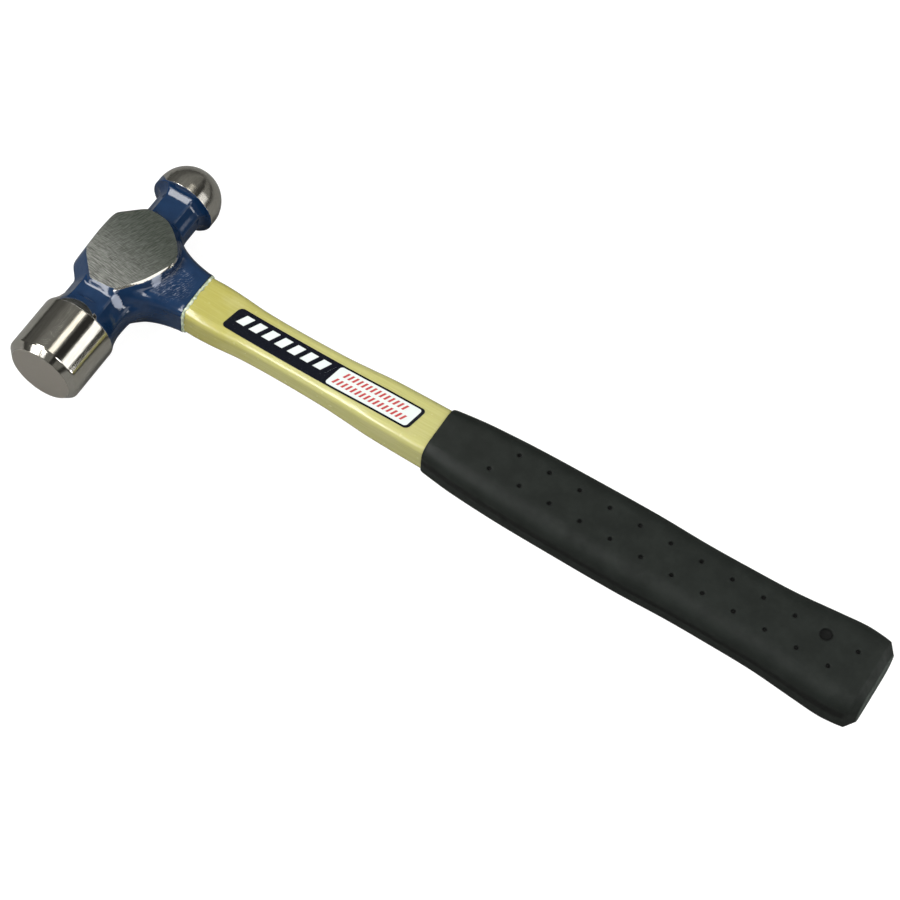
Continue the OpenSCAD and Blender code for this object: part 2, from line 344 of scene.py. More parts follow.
def crease_points(used, slot, points, normals, low, step, shape):
    """For each cell, the point nearest to all the planes that cut its edges."""
    count = np.bincount(slot).astype(float)
    middle = np.stack([np.bincount(slot, points[:, i]) for i in range(3)], 1) / count[:, None]
    offset = ((points - middle[slot]) * normals).sum(1)
    matrix = np.zeros((len(used), 3, 3))
    target = np.zeros((len(used), 3))
    for i in range(3):
        target[:, i] = np.bincount(slot, normals[:, i] * offset)
        for j in range(3):
            matrix[:, i, j] = np.bincount(slot, normals[:, i] * normals[:, j])
    matrix += 0.02 * np.eye(3)
    moved = middle + np.linalg.solve(matrix, target[:, :, None])[:, :, 0]
    corner = low + np.stack(np.unravel_index(used, shape), 1) * step
    return np.clip(moved, corner - 0.1 * step, corner + 1.1 * step)


def triangle_normals(vertices, triangles):
    a, b, c = (vertices[triangles[:, i]] for i in range(3))
    normal = np.cross(b - a, c - a)
    return normal / np.maximum(np.linalg.norm(normal, axis=1)[:, None], 1e-12)


def split_folded(field, vertices, quads):
    """Splits the quads that fold over a crease, along the crease."""
    halves = [quads[:, [0, 1, 2]], quads[:, [0, 2, 3]], quads[:, [0, 1, 3]], quads[:, [1, 2, 3]]]
    facing = [triangle_normals(vertices, half) for half in halves]
    flat = (facing[0] * facing[1]).sum(1) > 0.9985
    flat &= (facing[2] * facing[3]).sum(1) > 0.9985
    folded = np.flatnonzero(~flat)
    match = []
    for half, normal in zip(halves, facing):
        centre = vertices[half[folded]].mean(1)
        match.append((field_normals(field, centre) * normal[folded]).sum(1))
    first = np.minimum(match[0], match[1]) >= np.minimum(match[2], match[3])
    chosen = [halves[0][folded[first]], halves[1][folded[first]]]
    chosen += [halves[2][folded[~first]], halves[3][folded[~first]]]
    return [tuple(q) for q in quads[flat].tolist()] + [tuple(t) for c in chosen for t in c.tolist()]


def corner_normals(field, vertices, faces):
    """A normal for every face corner, read just inside the face."""
    sizes = np.array([len(f) for f in faces])
    corners = np.fromiter((v for f in faces for v in f), int, sizes.sum())
    owner = np.repeat(np.arange(len(faces)), sizes)
    centre = np.stack([np.bincount(owner, vertices[corners, i]) for i in range(3)], 1)
    centre /= sizes[:, None]
    return corners, field_normals(field, vertices[corners] * 0.85 + centre[owner] * 0.15, 0.01)


# ---- meshes


def put_in_scene(name, data):
    made = bpy.data.objects.new(name, data)
    bpy.context.scene.collection.objects.link(made)
    return made


def add_object(name, vertices, faces):
    """A mesh object from points (x, y, height over the axis) in millimetres."""
    placed = (np.array(vertices, float) + (0, 0, AXIS_Z)) * MM
    mesh = bpy.data.meshes.new(name)
    mesh.from_pydata(placed.tolist(), [], [tuple(f) for f in faces])
    mesh.shade_smooth()
    return put_in_scene(name, mesh)


def set_vertex_value(thing, name, values):
    attribute = thing.data.attributes.new(name, "FLOAT", "POINT")
    attribute.data.foreach_set("value", np.ascontiguousarray(values, np.float32))


def head_forging():
    """The head as one surface, with its edges marked for wear and its hollows marked for painted
    shade.
    """
    low = (HEAD_LOW[0] - 1, HEAD_LOW[1] - 1, -POLL_R - 1)
    high = (HEAD_HIGH[0] + 1, HEAD_HIGH[1] + 1, POLL_R + 1)
    step = 0.42
    vertices, quads = surface_of(head_field, low, high, step)
    faces = split_folded(head_field, vertices, quads)
    corners, normals = corner_normals(head_field, vertices, faces)
    inset = 0.004
    lowest, highest = (corner - (0, 0, AXIS_Z) for corner in (HEAD_LOW, HEAD_HIGH))
    inside = np.clip(vertices, lowest + inset, highest - inset)
    made = add_object("head_forging", inside, faces)
    made.data.normals_split_custom_set(normals.tolist())
    mean = np.stack([np.bincount(corners, normals[:, i]) for i in range(3)], 1)
    mean /= np.maximum(np.linalg.norm(mean, axis=1)[:, None], 1e-9)
    reach = 0.7
    inner = forging_field(*(vertices - mean * reach).T)
    outer = forging_field(*(vertices + mean * reach).T)
    set_vertex_value(made, "edge", np.clip(inner / reach + 1, 0, 1))
    # How deep each point lies in a hollow: the enamel is painted darker there as shade.
    set_vertex_value(made, "hollow_shade", np.clip(1 - outer / reach, 0, 1))
    return made


def top_height(half_w, half_t, corner, y):
    """Height of a rounded rectangle's upper side at y."""
    past = np.clip(np.abs(y) - (half_w - corner), 0, corner)
    return half_t - corner + np.sqrt(corner**2 - past**2)


def section(half_w, half_t, corner, columns, side_count):
    """Points round a rounded rectangle: the top columns, a side, the bottom, a side."""
    quarter = np.radians(np.linspace(90, 0, 25))
    arc_y = half_w - corner + corner * np.cos(quarter)
    arc_h = half_t - corner + corner * np.sin(quarter)
    last = columns[-1]
    keep = arc_y > last
    path_y = np.r_[last, arc_y[keep]]
    path_h = np.r_[top_height(half_w, half_t, corner, last), arc_h[keep]]
    path = np.stack([np.r_[path_y, path_y[::-1]], np.r_[path_h, -path_h[::-1]]], 1)
    length = np.r_[0, np.cumsum(np.linalg.norm(np.diff(path, axis=0), axis=1))]
    even = np.linspace(0, length[-1], side_count + 2)[1:-1]
    side = np.stack([np.interp(even, length, path[:, i]) for i in (0, 1)], 1)
    top = np.stack([columns, top_height(half_w, half_t, corner, columns)], 1)
    return np.concatenate([top, side, top[::-1] * (1, -1), side[::-1] * (-1, 1)])


def station_section(stations, x, columns, side_count, grow=0.0):
    half_w, half_t, corner = sizes_at(stations, x)
    return section(half_w + grow, half_t + grow, max(corner + grow, 0.4), columns, side_count)


def loft(rings):
    """Vertices and faces through rings given as (x, points), closed at both ends."""
    count = len(rings[0][1])
    vertices = [np.insert(points, 0, x, axis=1) for x, points in rings]
    faces = []
    for j in range(len(rings) - 1):
        for i in range(count):
            a, b = j * count + i, j * count + (i + 1) % count
            faces.append((a, a + count, b + count, b))
    total = len(rings) * count
    ends = [np.array([[rings[j][0], 0, rings[j][1][:, 1].mean()]]) for j in (0, -1)]
    for i in range(count):
        k = (i + 1) % count
        faces.append((total, i, k))
        faces.append((total + 1, total - count + k, total - count + i))
    return np.concatenate(vertices + ends), faces


def cap_rings(x, points, inwards):
    """Rings that close an end flat; inwards lists them from the rim to the middle."""
    rings = [(x, points * factor) for factor in (0.98, 0.8, 0.5, 0.2)]
    return rings if inwards else rings[::-1]


def handle_shaft():
    """Pultruded shaft: tang in the eye, waist, core inside the grip."""
    columns = np.linspace(-TOP_HALF_W, TOP_HALF_W, 13)
    side = 26
    tang = section(*TANG, columns, side)
    rings = cap_rings(TANG_X, tang, False)
    rings += [(x, tang) for x in np.linspace(TANG_X, RIM_X - 1, 12)]
    for x in np.arange(RIM_X - 0.4, CORE_X - 2, 1.0):
        rings.append((x, station_section(HANDLE, x, columns, side)))
    core = station_section(HANDLE, CORE_X - 2, columns, side)
    rings += [(x, core) for x in np.linspace(CORE_X, CORE_END_X, 8)]
    rings += cap_rings(CORE_END_X, core, True)
    return add_object("handle_shaft", *loft(rings))


# ---- grip

CELL = 0.8
GRIP_COLUMNS = CELL * (np.arange(24) - 11.5)
GRIP_SIDE = 30
DIMPLE_X = GRIP_X + 23.3
DIMPLE_PITCH = 12.1
DIMPLE_ROW = 5.1
ROW_SHIFT = 0.6
ROW_LEAN = -0.0146
# Places in both rows together, from the front, and which one the recess takes.
DIMPLE_COUNT = 24
RECESS_STEP = 21
RECESS_Y = CELL * 4.5
SHAFT_GAP = 0.03
# The front edge: how far it rounds back, and the share it draws in by.
LIP_R = 0.7
LIP_DRAW = 0.055
BUTT_EDGE = 3.4
# Distance before the butt's end and how far the chamfer has drawn in there.
BUTT_RINGS = [(3.1, 0), (2.85, 0.12), (2, 1), (1.1, 1.95), (0.35, 2.75), (0.1, 2.95), (0, 3.2)]
# (radius, depth) of the rings inside the recess and inside a dimple.
RECESS_RINGS = [(2.8, 0), (2.5, 0.04), (2.34, 0.2), (2.26, 1.25), (2.0, 1.55), (1.0, 1.6)]
DIMPLE_RINGS = [(1.15, 0), (0.96, 0.03), (0.86, 0.15), (0.8, 0.85), (0.55, 1.15)]


def dimple_places():
    """(x, y, rings, half block in cells) of each dimple and of the recess."""
    places = []
    for k in range(DIMPLE_COUNT):
        x = DIMPLE_X + DIMPLE_PITCH * k / 2
        y = row_middle(x) + (DIMPLE_ROW if k % 2 else -DIMPLE_ROW)
        is_recess = k == RECESS_STEP
        places.append((x, RECESS_Y, RECESS_RINGS, 4) if is_recess else (x, y, DIMPLE_RINGS, 2))
    return places


def row_middle(x):
    """Where the middle of the two rows lies: they lean across the grip."""
    return ROW_SHIFT + ROW_LEAN * (x - DIMPLE_X)


def grip_stops():
    """Places of the grip's rings: on the dimples' cells, evenly spaced between them."""
    fixed = {round(GRIP_X + 1.2, 3), round(BUTT_X - BUTT_EDGE, 3)}
    for x, _, _, half in dimple_places():
        fixed.update(round(x + CELL * k, 3) for k in range(-half, half + 1))
    fixed = sorted(fixed)
    stops = []
    for a, b in zip(fixed, fixed[1:]):
        parts = max(1, round((b - a) / 1.1))
        stops += [a + (b - a) * k / parts for k in range(parts)]
    return stops + [fixed[-1]]


def grip_section(x):
    return station_section(GRIP, x, GRIP_COLUMNS, GRIP_SIDE)


def grip_lip():
    """Rings round the front edge, from the shaft outwards."""
    core = station_section(HANDLE, GRIP_X, GRIP_COLUMNS, GRIP_SIDE, SHAFT_GAP)
    outer = grip_section(GRIP_X)
    rings = [(GRIP_X, core)]
    for angle in np.radians([0, 25, 50, 75]):
        x = GRIP_X + LIP_R * (1 - math.cos(angle))
        rings.append((x, outer - LIP_DRAW * outer * (1 - math.sin(angle))))
    return rings


def grip_butt():
    """Rings round the chamfered butt, from the side to the end face."""
    rings = []
    for back, drop in BUTT_RINGS:
        x = BUTT_X - back
        half_w, half_t, corner = sizes_at(GRIP, min(x, BUTT_X - 3))
        columns = GRIP_COLUMNS * (half_w - drop) / half_w
        points = section(half_w - drop, half_t - drop, corner - 0.4 * drop, columns, GRIP_SIDE)
        rings.append((x, points))
    return rings


def rubber_grip():
    """Moulded sleeve with vent dimples, open at the front for the shaft."""
    core = station_section(HANDLE, CORE_X, GRIP_COLUMNS, GRIP_SIDE, SHAFT_GAP)
    rings = cap_rings(CORE_END_X, core, False)
    rings += [(x, core) for x in (CORE_END_X, CORE_X + 48, CORE_X)]
    rings += grip_lip()
    first_outer = len(rings)
    stops = grip_stops()
    rings += [(x, grip_section(x)) for x in stops]
    rings += grip_butt()
    rings += cap_rings(BUTT_X, rings[-1][1], True)
    vertices, faces = loft(rings)
    vertices, faces = add_dimples(vertices, faces, stops, first_outer, len(rings[0][1]))
    made = add_object("rubber_grip", vertices, faces)
    x, y, h = np.array(vertices).T
    # Painted shade: how far a point lies below the grip's top, so the dimples and the recess are
    # painted dark inside.
    depth = top_height(*sizes_at(GRIP, x), y) - h
    inside = (h > 0) & (x < BUTT_X - 4)
    set_vertex_value(made, "pit_shade", np.where(inside, np.clip((depth - 0.1) / 0.4, 0, 1), 0))
    return made


def add_dimples(vertices, faces, stops, first_ring, ring_size):
    """Swaps a block of the top's cells for each dimple's rings."""
    stops = np.array(stops)
    removed = set()
    extra, extra_faces = [], []
    for x, y, pit_rings, half in dimple_places():
        row = first_ring + int(np.argmin(np.abs(stops - x)))
        column = int(np.argmin(np.abs(GRIP_COLUMNS - y)))
        for r in range(row - half, row + half):
            removed.update(r * ring_size + c for c in range(column - half, column + half))
        steps = range(-half, half)
        rim = [(row + k, column - half) for k in steps] + [(row + half, column + k) for k in steps]
        rim += [(row - k, column + half) for k in steps] + [(row - half, column - k) for k in steps]
        outer = [r * ring_size + c for r, c in rim]
        angles = 2 * np.pi * np.arange(len(rim)) / len(rim) - 0.75 * np.pi
        for ring_radius, depth in pit_rings:
            ring_x = x + ring_radius * np.cos(angles)
            ring_y = y + ring_radius * np.sin(angles)
            height = top_height(*sizes_at(GRIP, ring_x), ring_y) - depth
            base = len(vertices) + len(extra)
            extra += np.stack([ring_x, ring_y, height], 1).tolist()
            inner = [base + k for k in range(len(rim))]
            extra_faces += ring_faces(outer, inner)
            outer = inner
        middle = len(vertices) + len(extra)
        extra.append([x, y, float(np.mean(height))])
        extra_faces += [(a, b, middle) for a, b in zip(outer, outer[1:] + outer[:1])]
    kept = [f for f in faces if len(f) == 3 or f[0] not in removed]
    vertices = np.concatenate([vertices, np.array(extra)])
    return drop_loose(vertices, kept + extra_faces)


def ring_faces(outer, inner):
    """Quads between two rings of equal length."""
    return list(zip(outer, outer[1:] + outer[:1], inner[1:] + inner[:1], inner))


def drop_loose(vertices, faces):
    """Leaves out vertices that no face uses."""
    used = np.zeros(len(vertices), bool)
    for face in faces:
        used[list(face)] = True
    place = np.cumsum(used) - 1
    return vertices[used], [tuple(int(place[v]) for v in face) for face in faces]


# ---- label and resin

LABEL_START = LABEL_LOW[0] + 0.1
LABEL_END = LABEL_HIGH[0] - 0.1
LABEL_Y = (LABEL_LOW[1] + LABEL_HIGH[1]) / 2
LABEL_HALF_W = 5.05
LABEL_SLANT = 1.0
LABEL_CORNER = 1.7
LABEL_T = 0.13
LABEL_GAP = 0.005
# The white field: its start, its corner radius and its gaps to the film's edge.
FIELD_X = 86.9
FIELD_CORNER = 1.1
FIELD_END_GAP = 1.2
FIELD_SIDE_GAP = 0.75
# Rows of slanted bars: middle, first x, count, pitch, filled share, half height.
WHITE_BARS = (1.2, 47.6, 7, 5.35, 0.6, 2.15)
UPPER_TICKS = (2.0, 90.4, 14, 1.85, 0.5, 1.2)
LOWER_TICKS = (-1.75, 88.9, 16, 1.85, 0.5, 1.2)
BAR_LEAN = -0.3


def label_ends(v):
    """Where the film starts and ends at v from its middle, with slanted, rounded ends."""
    lean = LABEL_SLANT * v / LABEL_HALF_W
    past = np.clip(np.abs(v) - (LABEL_HALF_W - LABEL_CORNER), 0, LABEL_CORNER)
    inset = LABEL_CORNER - np.sqrt(LABEL_CORNER**2 - past**2)
    return LABEL_START + LABEL_SLANT + lean + inset, LABEL_END - LABEL_SLANT + lean - inset


def printed_label():
    """Thin film that follows the shaft's upper flat."""
    rows = LABEL_HALF_W * np.sin(np.linspace(-np.pi / 2, np.pi / 2, 21))
    across = 0.5 - 0.5 * np.cos(np.linspace(0, np.pi, 121))
    start, end = label_ends(rows)
    x = start[:, None] + (end - start)[:, None] * across[None, :]
    y = LABEL_Y + np.repeat(rows[:, None], len(across), 1)
    skin = top_height(*sizes_at(HANDLE, x), y)
    top = np.stack([x, y, skin + LABEL_T], 2).reshape(-1, 3)
    under = np.stack([x, y, skin + LABEL_GAP], 2).reshape(-1, 3)
    count = len(across)
    cells = [r * count + c for r in range(len(rows) - 1) for c in range(count - 1)]
    faces = [(a, a + 1, a + 1 + count, a + count) for a in cells]
    below = len(top)
    faces += [tuple(below + v for v in reversed(f)) for f in faces]
    last_row = (len(rows) - 1) * count
    rim = list(range(count - 1)) + [r * count + count - 1 for r in range(len(rows) - 1)]
    rim += [last_row + c for c in range(count - 1, 0, -1)]
    rim += [r * count for r in range(len(rows) - 1, 0, -1)]
    faces += [(below + a, below + b, b, a) for a, b in zip(rim, rim[1:] + rim[:1])]
    made = add_object("printed_label", np.concatenate([top, under]), faces)
    made.data.set_sharp_from_angle(angle=math.radians(40))
    return made


def wobble(angle, seed, amounts):
    """A closed uneven line: a sum of a few seeded waves round the circle."""
    random = np.random.default_rng(seed)
    total = np.zeros_like(angle)
    for waves, amount in amounts:
        total += amount * np.sin(waves * angle + random.uniform(0, 2 * np.pi))
    return total


# The cap in the eye's free end: where its face lies, and its thickness.
CAP_X = EYE_END_X + 1.3
CAP_T = 1.6
# How far past the rim a ring of the bead lies, how far off the shaft, and how uneven it is.
BEAD_RINGS = [
    (0.05, 0.55, 0.2), (0.3, 0.62, 0.8), (0.65, 0.42, 1.0), (0.95, 0.12, 1.0), (1.05, -0.1, 0.8),
]


def resin_fill():
    """Cured resin: cap at the eye's free end, film round the tang, bead at the rim."""
    columns = np.linspace(-TOP_HALF_W, TOP_HALF_W, 33)
    side = 44
    bead_room = node_box("epoxy_bond")[1][0] - RIM_X
    outer_x = np.linspace(CAP_X + 0.2, RIM_X, 16)
    cavity = [station_section(CAVITY, x, columns, side, -0.03) for x in outer_x]
    tang = section(*(size + 0.02 for size in TANG), columns, side)
    angle = np.linspace(0, 2 * np.pi, len(tang), endpoint=False)
    lumps = wobble(angle, SEED, ((5, 0.12), (9, 0.1), (17, 0.1), (31, 0.08), (47, 0.07)))[:, None]
    reach = wobble(angle, SEED + 1, ((4, 0.16), (7, 0.14), (13, 0.16), (23, 0.14), (37, 0.1)))
    shaft = station_section(HANDLE, RIM_X + 1, columns, side)
    rings = cap_rings(CAP_X, cavity[0] * 0.985, False)
    rings += list(zip(outer_x, cavity))
    unit = shaft / np.linalg.norm(shaft, axis=1)[:, None]
    for ahead, lift, uneven in BEAD_RINGS:
        points = shaft + unit * (lift + lumps * uneven * 0.9)
        rings.append((RIM_X + np.clip(ahead + reach * uneven, 0.02, bead_room), points))
    rings += [(RIM_X - 1, tang), (CAP_X + CAP_T, tang)]
    rings += cap_rings(CAP_X + CAP_T, tang, True)
    return add_object("resin_fill", *loft(rings))


# ---- node helpers


def linear(r, g, b):
    """A colour given as screen values 0 to 255, as the shader's linear colour."""
    shown = [c / 255 for c in (r, g, b)]
    return (*(c / 12.92 if c < 0.04045 else ((c + 0.055) / 1.055) ** 2.4 for c in shown), 1)


def add_node(kind, inputs, tree=None, **settings):
    """A shader node in the given tree, or else in the tree that its linked inputs are in."""
    links = {n: v for n, v in inputs.items() if isinstance(v, bpy.types.NodeSocket)}
    tree = tree or next(iter(links.values())).id_data
    made = tree.nodes.new("ShaderNode" + kind)
    for name, value in settings.items():
        setattr(made, name, value)
    for name, value in inputs.items():
        if name in links:
            tree.links.new(value, made.inputs[name])
        else:
            made.inputs[name].default_value = value
    return made


def calc(operation, a, b=0.0, c=0.0):
    return add_node("Math", {0: a, 1: b, 2: c}, operation=operation).outputs[0]


def times(a, b):
    return calc("MULTIPLY", a, b)


def times_plus(a, b, c):
    """a times b, plus c."""
    return calc("MULTIPLY_ADD", a, b, c)


def minus(a, b):
    return calc("SUBTRACT", a, b)


def larger(a, b):
    return calc("MAXIMUM", a, b)


def ease(value, low, high):
    """0 below low, 1 above high, or the other way round where low is the larger."""
    inputs = {"Value": value, "From Min": low, "From Max": high}
    return add_node("MapRange", inputs, interpolation_type="SMOOTHSTEP").outputs[0]


def span(value, low, high, to_low, to_high):
    inputs = {"Value": value, "From Min": low, "From Max": high}
    inputs.update({"To Min": to_low, "To Max": to_high})
    return add_node("MapRange", inputs).outputs[0]


def blend(amount, a, b):
    """Colour a where amount is 0, b where it is 1; plain colours are screen values."""
    a, b = (linear(*colour) if isinstance(colour, tuple) else colour for colour in (a, b))
    return add_node("Mix", {0: amount, 6: a, 7: b}, data_type="RGBA").outputs[2]


def mix(amount, a, b):
    """Value a where amount is 0, b where it is 1."""
    return add_node("Mix", {0: amount, 2: a, 3: b}, data_type="FLOAT").outputs[0]


def millimetres(material):
    """Object coordinates in millimetres, with their x, y and height over the axis."""
    place = add_node("TexCoord", {}, material.node_tree).outputs["Object"]
    inputs = {0: place, 1: (1000, 1000, 1000)}
    scaled = add_node("VectorMath", inputs, operation="MULTIPLY").outputs[0]
    inputs = {0: scaled, 1: (0, 0, AXIS_Z)}
    lowered = add_node("VectorMath", inputs, operation="SUBTRACT").outputs[0]
    return lowered, *add_node("SeparateXYZ", {0: lowered}).outputs


def stretched(vector, scale, turn=0.0):
    """Coordinates turned about Z and scaled, so that a noise runs in streaks."""
    inputs = {"Vector": vector, "Rotation": (0, 0, turn), "Scale": [1 / s for s in scale]}
    return add_node("Mapping", inputs, vector_type="TEXTURE").outputs[0]


def noise(vector, scale, detail=3.0, roughness=0.5):
    """Noise from 0 to 1; scale is in features per millimetre."""
    inputs = {"Vector": vector, "Scale": scale, "Detail": detail, "Roughness": roughness}
    return add_node("TexNoise", inputs).outputs["Fac"]


def streaky(vector, lengths, detail, roughness=0.5, turn=0.0):
    """Noise drawn out to these lengths in millimetres."""
    return noise(stretched(vector, lengths, turn), 1.0, detail, roughness)


def vertex_value(material, name):
    return add_node("Attribute", {}, material.node_tree, attribute_name=name).outputs["Fac"]


def bump(height, depth_mm, normal=None):
    """A bump whose height runs from 0 to 1 over depth_mm."""
    inputs = {"Height": height, "Distance": depth_mm * MM, "Strength": 1.0}
    if normal is not None:
        inputs["Normal"] = normal
    return add_node("Bump", inputs).outputs[0]


def surface_material(name, **inputs):
    """A material with one Principled shader; inputs are set on its own sockets."""
    made = bpy.data.materials.new(name)
    made.use_nodes = True
    for name, value in inputs.items():
        shader_socket(made, name).default_value = value
    return made


def shader_socket(material, name):
    shader = material.node_tree.nodes["Principled BSDF"]
    return shader.inputs[name.replace("_", " ")]


def finish(material, **links):
    """The material with values linked to its shader's sockets."""
    for name, value in links.items():
        material.node_tree.links.new(value, shader_socket(material, name))
    return material


# ---- materials


def bare_metal_mask(vector, x, y, h):
    """1 on the ground poll, ball and cheeks, 0 on the paint."""
    ragged = span(noise(vector, 1.3, 4.0, 0.6), 0, 1, -0.35, 0.35)
    free_side = ease(x, -7.0, -9.0)
    poll_line = times_plus(free_side, 4.6, POLL_BACK_Y - 0.3)
    poll_line = calc("ADD", poll_line, times(ragged, 0.7))
    on_poll = ease(minus(poll_line, y), -0.05, 0.1)
    ball_line = times_plus(ease(x, -5.0, -10.5), 3.2, BALL_BACK_Y + 0.12)
    ball_line = calc("ADD", ball_line, times(ragged, 0.8))
    on_ball = ease(minus(y, ball_line), -0.05, 0.1)
    on_cheek = ease(calc("ABSOLUTE", h), CHEEK_H - 0.1, CHEEK_H - 0.05)
    ends = larger(on_poll, on_ball)
    on_cheek = times(on_cheek, minus(1.0, ends))
    return larger(ends, on_cheek), on_poll, on_ball, on_cheek


def worn_cheek_edge(vector, x, y, h):
    """Paint rubbed off the cheek's edge on the side of the handle."""
    side = times_plus(y, -0.55, times(x, 0.83))
    facing = times(ease(side, 10.8, 12.2), ease(x, 5.8, 6.6))
    ragged = noise(vector, 0.9, 4.0, 0.6)
    lowest = times_plus(ragged, 0.9, CHEEK_H - 1.25)
    high = ease(minus(h, lowest), -0.05, 0.05)
    return times(facing, high)


# Pale places on the paint, two worn ones and a painted highlight: the centre's x and y, and the
# radii along x and y.
RUBBED_PATCH = (19.5, -2.0, 8.5, 8.0)
RUBBED_SPOT = (15.4, -5.2, 1.7, 2.8)
PAINTED_GLINT_SPOT = (8.6, -19.7, 2.1, 2.0)


def off_centre(x, y, centre_x, centre_y, radius_x, radius_y):
    """0 at the centre of an upright ellipse, 1 on its rim."""
    dx = calc("DIVIDE", minus(x, centre_x), radius_x)
    dy = calc("DIVIDE", minus(y, centre_y), radius_y)
    return calc("ADD", times(dx, dx), times(dy, dy))


def scuff_and_glint_mask(vector, x, y, h):
    """Rubbed patch on the socket's upper side, in fine crossing streaks, a rubbed spot, and a pale
    spot painted where the poll's neck meets the eye body as a highlight.
    """
    patch = ease(off_centre(x, y, *RUBBED_PATCH), 1.2, 0.25)
    patch = times(times(patch, ease(h, 6.0, 7.0)), 0.75)
    streaks = streaky(vector, (0.45, 3.0, 1), 5.0, 0.7, 1.2)
    crossing = streaky(vector, (0.5, 3.0, 1), 5.0, 0.7, 0.5)
    lines = larger(streaks, minus(crossing, 0.05))
    streaked = times(patch, ease(lines, 0.52, 0.72))
    rub = times_plus(streaks, 2.4, off_centre(x, y, *RUBBED_SPOT))
    # Painted highlight: a pale spot on the paint that stands in for a glint of light, not wear.
    painted_glint = times_plus(streaks, 1.2, off_centre(x, y, *PAINTED_GLINT_SPOT))
    painted_glint = times(ease(painted_glint, 1.6, 1.1), ease(h, 5.0, 6.0))
    rub_and_glint = larger(ease(rub, 2.1, 1.5), painted_glint)
    return larger(streaked, rub_and_glint)


def head_material():
    """Navy enamel with ground bare steel on the poll, ball and cheeks."""
    made = surface_material("enamelled_steel", Coat_Roughness=0.2)
    vector, x, y, h = millimetres(made)
    bare, on_poll, on_ball, on_cheek = bare_metal_mask(vector, x, y, h)
    grit = noise(vector, 1.6, 5.0, 0.65)
    worn = ease(times_plus(grit, 0.5, vertex_value(made, "edge")), 0.78, 0.92)
    worn = larger(worn, worn_cheek_edge(vector, x, y, h))
    # scuffed holds the rubbed paint and also the painted highlight spot.
    scuffed = scuff_and_glint_mask(vector, x, y, h)
    paint = enamel_colour(vector, vertex_value(made, "hollow_shade"), scuffed)
    metal, metal_rough, marks = steel_surface(vector, x, y, on_poll, on_ball, on_cheek)
    uncovered = larger(bare, worn)
    colour = blend(uncovered, paint, metal)
    paint_rough = span(noise(vector, 0.35, 4.0), 0.3, 0.7, 0.1, 0.17)
    paint_rough = times_plus(scuffed, 0.25, paint_rough)
    rough = mix(uncovered, paint_rough, metal_rough)
    lumps = noise(vector, 0.22, 3.0, 0.55)
    peel = noise(vector, 1.1, 2.0)
    relief = bump(times(lumps, minus(1.0, bare)), 0.12)
    relief = bump(times(peel, minus(1.0, uncovered)), 0.012, relief)
    relief = bump(marks, 0.012, relief)
    return finish(made, Base_Color=colour, Roughness=rough, Metallic=uncovered, Normal=relief)


def enamel_colour(vector, hollow_shade, scuffed):
    mottle = noise(vector, 0.16, 4.0, 0.6)
    colour = blend(ease(mottle, 0.3, 0.7), (12, 36, 64), (18, 43, 73))
    # Painted shade: the navy is darkened in the forging's hollows.
    colour = blend(times(hollow_shade, 0.5), colour, (12, 26, 52))
    # Rubbed paint and the painted highlight spot turn pale blue-grey.
    return blend(times(scuffed, 0.8), colour, (160, 167, 184))


def steel_surface(vector, x, y, on_poll, on_ball, on_cheek):
    """Colour, roughness and mark height of the bare steel."""
    blotch = noise(vector, 0.28, 5.0, 0.62)
    turned = streaky(vector, (3.0, 0.2, 3.0), 4.0, 0.6)
    polished = blend(blotch, (182, 179, 170), (200, 197, 190))
    fine = ease(turned, 0.35, 0.65)
    polished = blend(times(fine, 0.35), polished, (156, 153, 146))
    face = ease(y, FACE_Y + 0.25, FACE_Y + 0.1)
    grain = noise(vector, 0.5, 6.0, 0.7)
    satin = blend(grain, (180, 174, 165), (190, 184, 176))
    polished = blend(face, polished, satin)
    # Painted sheen: the ground cheek is painted lighter towards the poll and the free end, where
    # its grinding streaks also turn.
    painted_sheen_slope = times_plus(y, -0.028, times(x, -0.008))
    sheen_and_grain_end = ease(painted_sheen_slope, -0.35, 0.5)
    along_x = streaky(vector, (0.3, 3.4, 1), 5.0, 0.66, -0.1)
    along_y = streaky(vector, (0.35, 3.2, 1), 5.0, 0.66, 1.15)
    streaks = mix(sheen_and_grain_end, along_y, along_x)
    dark = blend(sheen_and_grain_end, (60, 64, 58), (70, 71, 66))
    bright = blend(sheen_and_grain_end, (90, 94, 88), (150, 151, 146))
    ground = blend(ease(streaks, 0.32, 0.72), dark, bright)
    colour = blend(on_cheek, polished, ground)
    ball_marks = streaky(vector, (2.2, 0.5, 2.2), 4.0, 0.65)
    rough = span(blotch, 0.3, 0.7, 0.07, 0.11)
    rough = times_plus(on_ball, 0.1, rough)
    rough = times_plus(face, 0.26, rough)
    rough = times_plus(on_cheek, 0.32, rough)
    off_bevel = ease(y, FACE_Y + BEVEL - 0.2, FACE_Y + BEVEL + 0.3)
    marks = times(times(on_poll, off_bevel), turned)
    marks = times_plus(on_ball, ball_marks, marks)
    marks = times_plus(on_cheek, times(streaks, 1.8), marks)
    return colour, rough, marks


def resin_material():
    """Pale green-white cured epoxy, glossy and a little cloudy."""
    made = surface_material(
        "cured_epoxy", Subsurface_Weight=0.35, Subsurface_Radius=(1.2, 1.2, 0.8),
        Subsurface_Scale=0.001,
    )
    vector = millimetres(made)[0]
    cloud = ease(noise(vector, 0.6, 5.0, 0.6), 0.35, 0.65)
    colour = blend(cloud, (150, 164, 138), (206, 214, 192))
    rough = span(noise(vector, 1.2, 3.0), 0.3, 0.7, 0.22, 0.42)
    relief = bump(noise(vector, 1.5, 4.0, 0.6), 0.12)
    return finish(made, Base_Color=colour, Roughness=rough, Normal=relief)


